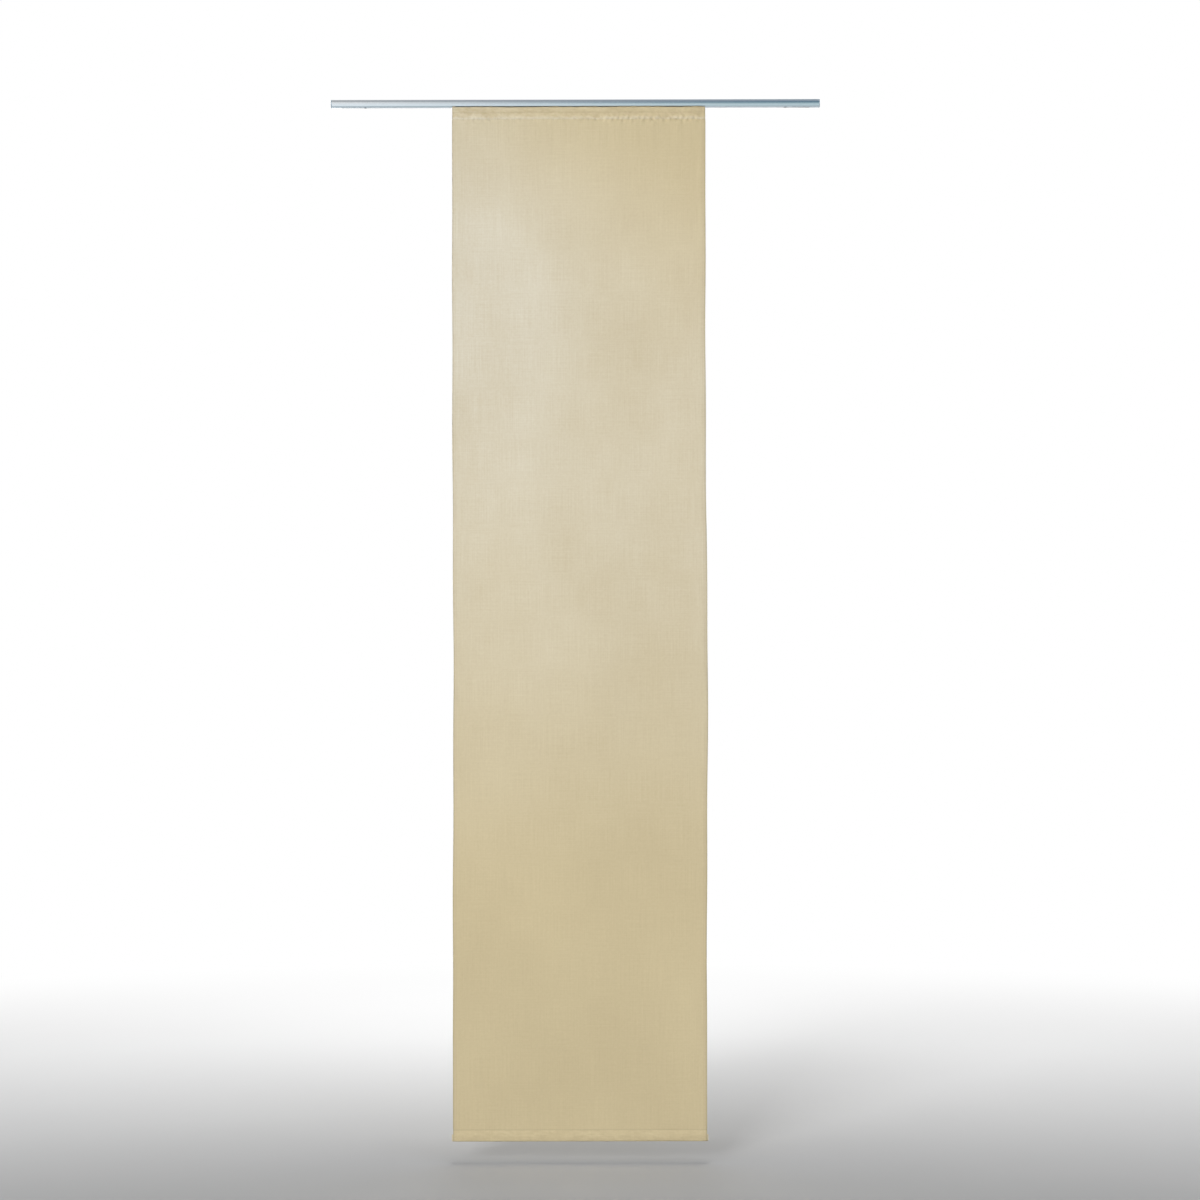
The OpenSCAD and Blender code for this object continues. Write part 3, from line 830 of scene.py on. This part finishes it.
class CURTAIN_OT_carrier(bpy.types.Operator):
    """Finishes the panel carrier, its caps and its gliders"""
    bl_idname = "curtain.carrier"
    bl_label = "Carrier and gliders"

    def execute(self, context):
        s = context.scene.curtain_fittings
        wear(metal_finish("mill_aluminium", tuple(s.carrier), 0.40, 1.0, 0.6), "panel_carrier",
             "weight_bar")
        wear(moulded_finish("pale_moulding", tuple(s.carrier_cap), 0.46), "carrier_end_cap_left",
             "carrier_end_cap_right")
        wear(moulded_finish("beige_moulding", tuple(s.plug), 0.52), "weight_bar_plug_left",
             "weight_bar_plug_right")
        gliders = [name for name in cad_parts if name.startswith("glider_")]
        wear(moulded_finish("white_glider", tuple(s.glider), 0.30, 0.0, 500.0), *gliders)
        return {"FINISHED"}


class CURTAIN_OT_cloth(bpy.types.Operator):
    """Makes the hanging sheet with its turned hems and its tunnel"""
    bl_idname = "curtain.cloth"
    bl_label = "Cloth"

    def execute(self, context):
        s, stitch = context.scene.curtain_cloth, context.scene.curtain_stitch
        points, faces, uv = hanging_sheet(s, (stitch.top_row, stitch.band_row))
        sheet = make_piece("cloth_sheet", points, faces, uv)
        thick = sheet.modifiers.new("Cloth thickness", "SOLIDIFY")
        thick.thickness, thick.offset = CLOTH_SHARE * s.layer, 0.0
        sheet.data.materials.append(cloth_finish(s, stitch))
        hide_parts("curtain_panel")
        return {"FINISHED"}


class CURTAIN_OT_sewing(bpy.types.Operator):
    """Sews the rows along the top band, the tunnel's seam and the side hems"""
    bl_idname = "curtain.sewing"
    bl_label = "Sewing"

    def execute(self, context):
        s, stitch = context.scene.curtain_cloth, context.scene.curtain_stitch
        rows = (stitch.top_row, stitch.band_row)
        material = thread_finish(tuple(stitch.thread_colour))
        half = CLOTH_SHARE * s.layer / 2
        right, down = np.array([1.0, 0.0, 0.0]), np.array([0.0, 0.0, -1.0])
        room, wall = np.array([0.0, -1.0, 0.0]), np.array([0.0, 1.0, 0.0])
        across = np.arange(-s.width / 2 + 0.003, s.width / 2 - 0.002, stitch.pitch)
        drop = np.arange(s.top_hem + 0.004, s.drop - s.tunnel - 0.004, stitch.pitch)

        def front(x, d):
            return front_of_cloth(x, d, s, rows) + half * room

        def back(x, d):
            return front_of_cloth(x, d, s, rows) + (half + s.layer) * wall

        seam = s.drop - stitch.seam_row
        band = sewing("sewing_band", [(front(across, np.full_like(across, d)), right, room) for d in rows],
                      stitch.pitch, stitch.thread)
        foot = sewing("sewing_tunnel", [
            (front(across, np.full_like(across, seam)), right, room),
            (back(across, np.full_like(across, seam)), right, wall)], stitch.pitch, stitch.thread)
        edge = s.width / 2 - stitch.side_row
        sides = sewing("sewing_sides", [
            (face(np.full_like(drop, x), drop), down, way)
            for x in (-edge, edge) for face, way in ((front, room), (back, wall))],
            stitch.pitch, stitch.thread)
        for piece in (band, foot, sides):
            piece.data.materials.append(material)
        return {"FINISHED"}


class CURTAIN_OT_tapes(bpy.types.Operator):
    """Makes the hook tape on the carrier and the loop tape on the cloth"""
    bl_idname = "curtain.tapes"
    bl_label = "Hook and loop tapes"

    def execute(self, context):
        tint = tuple(context.scene.curtain_fittings.tape)
        for node, low, high, finish, on in (
                ("hook_tape", HOOK_LOW, HOOK_HIGH, hook_finish, "panel_carrier"),
                ("loop_tape", LOOP_LOW, LOOP_HIGH, loop_finish, "cloth_sheet")):
            tape = tape_strip(node + "_strip", low, high, 0.00012)
            tape.data.materials.append(finish(tint))
            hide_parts(node)
        return {"FINISHED"}


class CURTAIN_OT_stage(bpy.types.Operator):
    """Sets up the floor, the white room, the lamps and the camera"""
    bl_idname = "curtain.stage"
    bl_label = "Studio"

    def execute(self, context):
        scene = context.scene
        s = scene.curtain_stage
        lay_floor(scene, s)
        scene.world = room_finish(s)
        powers = {"key_lamp": s.key_power, "top_lamp": s.top_power,
                  "back_lamp": s.back_power, "fill_lamp": s.fill_power}
        lamps = {name: hang_lamp(scene, name, power) for name, power in powers.items()}
        lamps["key_lamp"].visible_glossy = lamps["top_lamp"].visible_glossy = False
        for card in CARDS:
            set_card(scene, *card)
        aim_camera(scene, s)
        scene.view_settings.view_transform = "Standard"
        return {"FINISHED"}


class CURTAIN_PT_panel(bpy.types.Panel):
    """Lists the curtain's settings and the steps that build it"""
    bl_label = "Panel curtain"
    bl_idname = "CURTAIN_PT_panel"
    bl_space_type = "VIEW_3D"
    bl_region_type = "UI"
    bl_category = "Panel curtain"

    def draw(self, context):
        for step in STEPS:
            self.layout.operator(step.bl_idname)
        for group in GROUPS:
            settings = getattr(context.scene, group)
            box = self.layout.box()
            for key in settings.__annotations__:
                box.prop(settings, key)


GROUPS = {"curtain_cloth": ClothSettings, "curtain_stitch": StitchSettings,
          "curtain_fittings": FittingSettings, "curtain_stage": StageSettings}
STEPS = (CURTAIN_OT_rail, CURTAIN_OT_carrier, CURTAIN_OT_cloth, CURTAIN_OT_sewing, CURTAIN_OT_tapes,
         CURTAIN_OT_stage)


def register():
    for made in (*GROUPS.values(), *STEPS, CURTAIN_PT_panel):
        bpy.utils.register_class(made)
    for group, made in GROUPS.items():
        setattr(bpy.types.Scene, group, PointerProperty(type=made))


def unregister():
    for group in GROUPS:
        delattr(bpy.types.Scene, group)
    for made in reversed((*GROUPS.values(), *STEPS, CURTAIN_PT_panel)):
        bpy.utils.unregister_class(made)


def main():
    register()
    bpy.ops.curtain.rail()
    bpy.ops.curtain.carrier()
    bpy.ops.curtain.cloth()
    bpy.ops.curtain.sewing()
    bpy.ops.curtain.tapes()
    bpy.ops.curtain.stage()
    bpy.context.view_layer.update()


if __name__ == "__main__":
    main()
